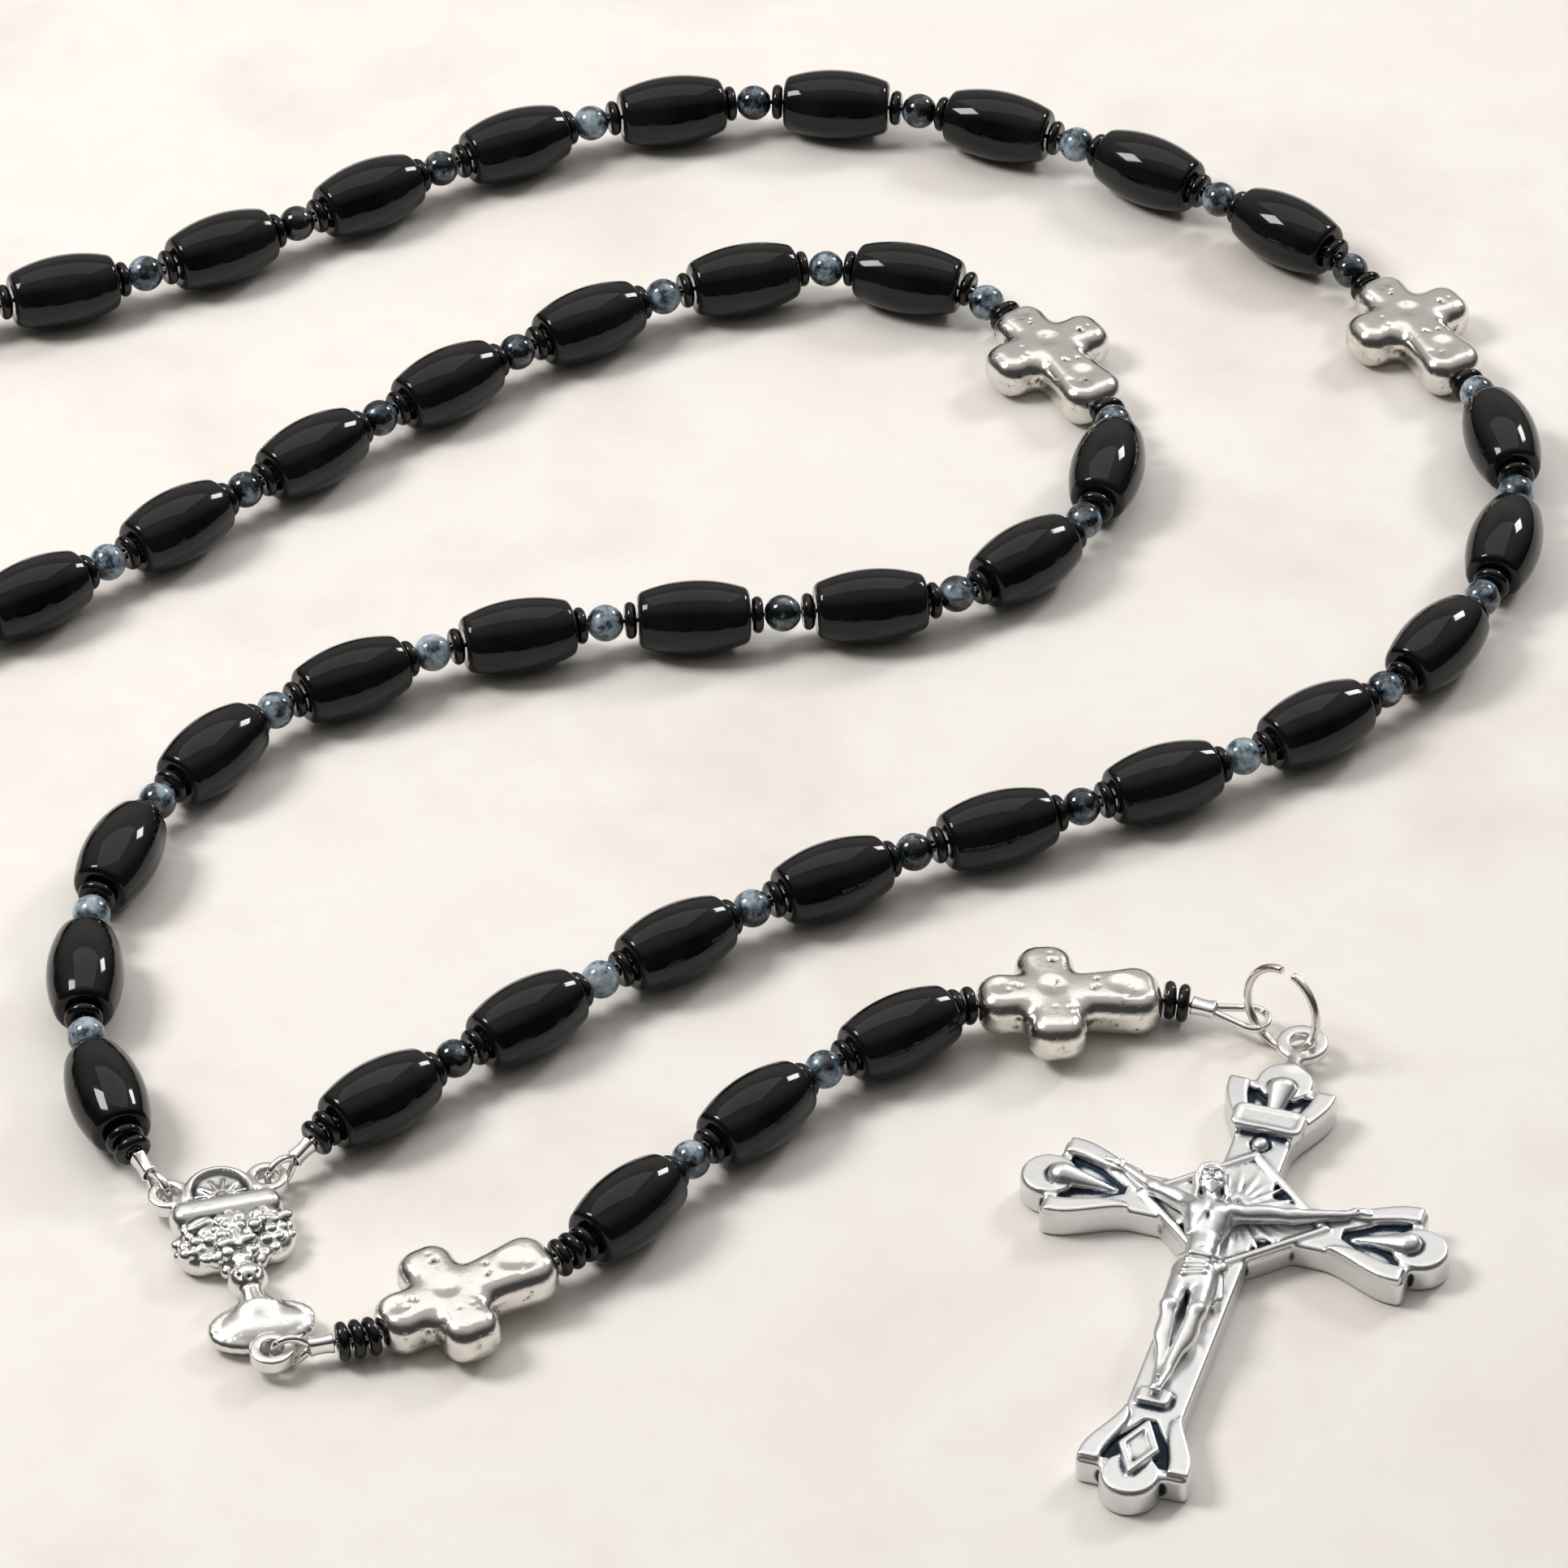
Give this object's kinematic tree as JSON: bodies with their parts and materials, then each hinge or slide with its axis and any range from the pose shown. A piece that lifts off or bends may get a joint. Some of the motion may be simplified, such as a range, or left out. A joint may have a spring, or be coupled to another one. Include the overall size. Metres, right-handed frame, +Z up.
{
  "type": "rosary",
  "caption": "Rosary of black stone barrel beads with speckled round spacers, cast metal cross beads, a chalice centrepiece and a crucifix.",
  "frame": {"origin": "on the back face of the centrepiece, in the middle of its bowl and host, where it lies on the table", "axes": "+Z up from the table; +X towards the crucifix's side; +Y away from the viewer"},
  "size_m": [0.2838, 0.2297, 0.0097],
  "materials": {
    "onyx": "polished",
    "speckled_stone": "polished",
    "black_disc": "polished",
    "cast_cross": "cast, polished, darkened in the hollows",
    "cast_centre": "cast, polished, darkened in the hollows",
    "cast_crucifix": "cast, satin, darkened in the hollows",
    "ring_wire": "polished",
    "crimp": "polished",
    "guard": "polished",
    "beading_wire": "stranded"
  },
  "bodies": {
    "centrepiece": {"centrepiece": "cast_centre", "loop_wire": "beading_wire", "drop_wire": "beading_wire"},
    "left_guard": {"guard_left": "guard", "crimp_left": "crimp"},
    "decade_1a": {"decade_1a_barrels": "onyx", "decade_1a_rounds": "speckled_stone", "decade_1a_discs": "black_disc"},
    "decade_1b": {"decade_1b_barrels": "onyx", "decade_1b_rounds": "speckled_stone", "decade_1b_discs": "black_disc"},
    "decade_2a": {"decade_2a_barrels": "onyx", "decade_2a_rounds": "speckled_stone", "decade_2a_discs": "black_disc"},
    "decade_2b": {"decade_2b_barrels": "onyx", "decade_2b_rounds": "speckled_stone", "decade_2b_discs": "black_disc"},
    "decade_3a": {"decade_3a_barrels": "onyx", "decade_3a_rounds": "speckled_stone", "decade_3a_discs": "black_disc"},
    "right_guard": {"guard_right": "guard", "crimp_right": "crimp"},
    "decade_5a": {"decade_5a_barrels": "onyx", "decade_5a_rounds": "speckled_stone", "decade_5a_discs": "black_disc"},
    "decade_5b": {"decade_5b_barrels": "onyx", "decade_5b_rounds": "speckled_stone", "decade_5b_discs": "black_disc"},
    "decade_4a": {"decade_4a_barrels": "onyx", "decade_4a_rounds": "speckled_stone", "decade_4a_discs": "black_disc"},
    "decade_4b": {"decade_4b_barrels": "onyx", "decade_4b_rounds": "speckled_stone", "decade_4b_discs": "black_disc"},
    "decade_3b": {"decade_3b_barrels": "onyx", "decade_3b_rounds": "speckled_stone", "decade_3b_discs": "black_disc"},
    "cross_bead_1": {"cross_bead_1": "cast_cross"},
    "cross_bead_2": {"cross_bead_2": "cast_cross"},
    "cross_bead_3": {"cross_bead_3": "cast_cross"},
    "cross_bead_4": {"cross_bead_4": "cast_cross"},
    "lower_guard": {"guard_lower": "guard", "crimp_lower": "crimp"},
    "drop_first": {"drop_discs_first": "black_disc", "drop_barrel_1": "onyx", "drop_round_1": "speckled_stone"},
    "cross_bead_drop_1": {"cross_bead_drop_1": "cast_cross"},
    "drop_middle": {"drop_barrel_2": "onyx", "drop_round_2": "speckled_stone", "drop_discs_middle": "black_disc"},
    "drop_last": {"drop_barrel_3": "onyx", "drop_discs_last": "black_disc"},
    "cross_bead_drop_2": {"cross_bead_drop_2": "cast_cross"},
    "end_guard": {"guard_end": "guard", "crimp_end": "crimp"},
    "jump_ring": {"jump_ring": "ring_wire"},
    "crucifix": {"crucifix": "cast_crucifix"}
  },
  "joints": [
    {"name": "left_guard_swing", "type": "hinge", "parent": "centrepiece", "child": "left_guard", "pos_m": [-0.00625, 0.00402, 0.0021], "axis": [0, 0, 1], "range_deg": [0, 12], "deforming": ["loop_wire"]},
    {"name": "decade_1a_lift", "type": "hinge", "parent": "left_guard", "child": "decade_1a", "pos_m": [-0.00973, 0.00899, 0.00338], "axis": [0.9941, 0.1089, 0], "range_deg": [0, 12]},
    {"name": "decade_1b_swing", "type": "hinge", "parent": "decade_1a", "child": "decade_1b", "pos_m": [0.01765, 0.0877, 0.004], "axis": [0, 0, 1], "range_deg": [0, 8]},
    {"name": "decade_2a_lift", "type": "hinge", "parent": "decade_1b", "child": "decade_2a", "pos_m": [0.07755, 0.15022, 0.00325], "axis": [0.6017, 0.7987, 0], "range_deg": [0, 10]},
    {"name": "decade_2b_swing", "type": "hinge", "parent": "decade_2a", "child": "decade_2b", "pos_m": [-0.00346, 0.11567, 0.004], "axis": [0, 0, 1], "range_deg": [0, 10]},
    {"name": "decade_3a_lift", "type": "hinge", "parent": "decade_2b", "child": "decade_3a", "pos_m": [-0.08741, 0.02983, 0.00325], "axis": [-0.6088, 0.7933, 0], "range_deg": [0, 10]},
    {"name": "cross_bead_1_spin", "type": "hinge", "parent": "decade_1b", "child": "cross_bead_1", "pos_m": [0.08513, 0.13984, 0.0025], "axis": [-0.5299, 0.8481, 0], "continuous": true},
    {"name": "cross_bead_2_spin", "type": "hinge", "parent": "decade_2b", "child": "cross_bead_2", "pos_m": [-0.07867, 0.03938, 0.0025], "axis": [-0.6428, -0.766, 0], "continuous": true},
    {"name": "right_guard_swing", "type": "hinge", "parent": "centrepiece", "child": "right_guard", "pos_m": [0.00341, 0.00661, 0.0021], "axis": [0, 0, -1], "range_deg": [0, 4]},
    {"name": "decade_5a_lift", "type": "hinge", "parent": "right_guard", "child": "decade_5a", "pos_m": [0.0077, 0.0109, 0.00338], "axis": [0.9941, 0.1089, 0], "range_deg": [0, 12]},
    {"name": "decade_5b_swing", "type": "hinge", "parent": "decade_5a", "child": "decade_5b", "pos_m": [0.08599, 0.06236, 0.004], "axis": [0, 0, -1], "range_deg": [0, 6]},
    {"name": "decade_4a_lift", "type": "hinge", "parent": "decade_5b", "child": "decade_4a", "pos_m": [0.11833, 0.15615, 0.00325], "axis": [0.7661, 0.6427, 0], "range_deg": [0, 10]},
    {"name": "decade_4b_swing", "type": "hinge", "parent": "decade_4a", "child": "decade_4b", "pos_m": [0.03301, 0.18311, 0.004], "axis": [0, 0, -1], "range_deg": [0, 10]},
    {"name": "decade_3b_lift", "type": "hinge", "parent": "decade_4b", "child": "decade_3b", "pos_m": [-0.07688, 0.13456, 0.00325], "axis": [-0.342, 0.9397, 0], "range_deg": [0, 10]},
    {"name": "cross_bead_4_spin", "type": "hinge", "parent": "decade_5b", "child": "cross_bead_4", "pos_m": [0.1252, 0.14515, 0.0025], "axis": [-0.5, 0.866, 0], "continuous": true},
    {"name": "cross_bead_3_spin", "type": "hinge", "parent": "decade_4b", "child": "cross_bead_3", "pos_m": [-0.06455, 0.13867, 0.0025], "axis": [-0.9511, -0.309, 0], "continuous": true},
    {"name": "lower_guard_swing", "type": "hinge", "parent": "centrepiece", "child": "lower_guard", "pos_m": [0.00492, -0.01835, 0.0021], "axis": [0, 0, 1], "range_deg": [-15, 3], "deforming": ["drop_wire"]},
    {"name": "drop_first_lift", "type": "hinge", "parent": "lower_guard", "child": "drop_first", "pos_m": [0.01103, -0.01705, 0.00228], "axis": [0.2079, -0.9781, 0], "range_deg": [0, 8]},
    {"name": "cross_bead_drop_1_spin", "type": "hinge", "parent": "drop_first", "child": "cross_bead_drop_1", "pos_m": [0.02375, -0.01143, 0.00316], "axis": [0.8808, 0.4683, 0.0698], "continuous": true},
    {"name": "drop_middle_swing", "type": "hinge", "parent": "drop_first", "child": "drop_middle", "pos_m": [0.04572, 0.00769, 0.004], "axis": [0, 0, 1], "range_deg": [-15, 6]},
    {"name": "drop_last_lift", "type": "hinge", "parent": "drop_middle", "child": "drop_last", "pos_m": [0.05904, 0.02122, 0.004], "axis": [0, -1, 0], "range_deg": [0, 12]},
    {"name": "cross_bead_drop_2_spin", "type": "hinge", "parent": "drop_last", "child": "cross_bead_drop_2", "pos_m": [0.08403, 0.03233, 0.00316], "axis": [0.9901, 0.1216, -0.0698], "continuous": true},
    {"name": "end_guard_swing", "type": "hinge", "parent": "drop_last", "child": "end_guard", "pos_m": [0.09645, 0.03303, 0.0023], "axis": [0, 0, 1], "range_deg": [-10, 8]},
    {"name": "jump_ring_turn", "type": "hinge", "parent": "end_guard", "child": "jump_ring", "pos_m": [0.10552, 0.02948, 0.00487], "axis": [-0.6609, -0.734, 0.1564], "range_deg": [0, 30]},
    {"name": "crucifix_swivel", "type": "hinge", "parent": "jump_ring", "child": "crucifix", "pos_m": [0.10761, 0.02702, 0.0021], "axis": [0, 0, 1], "range_deg": [-20, 25]}
  ]
}
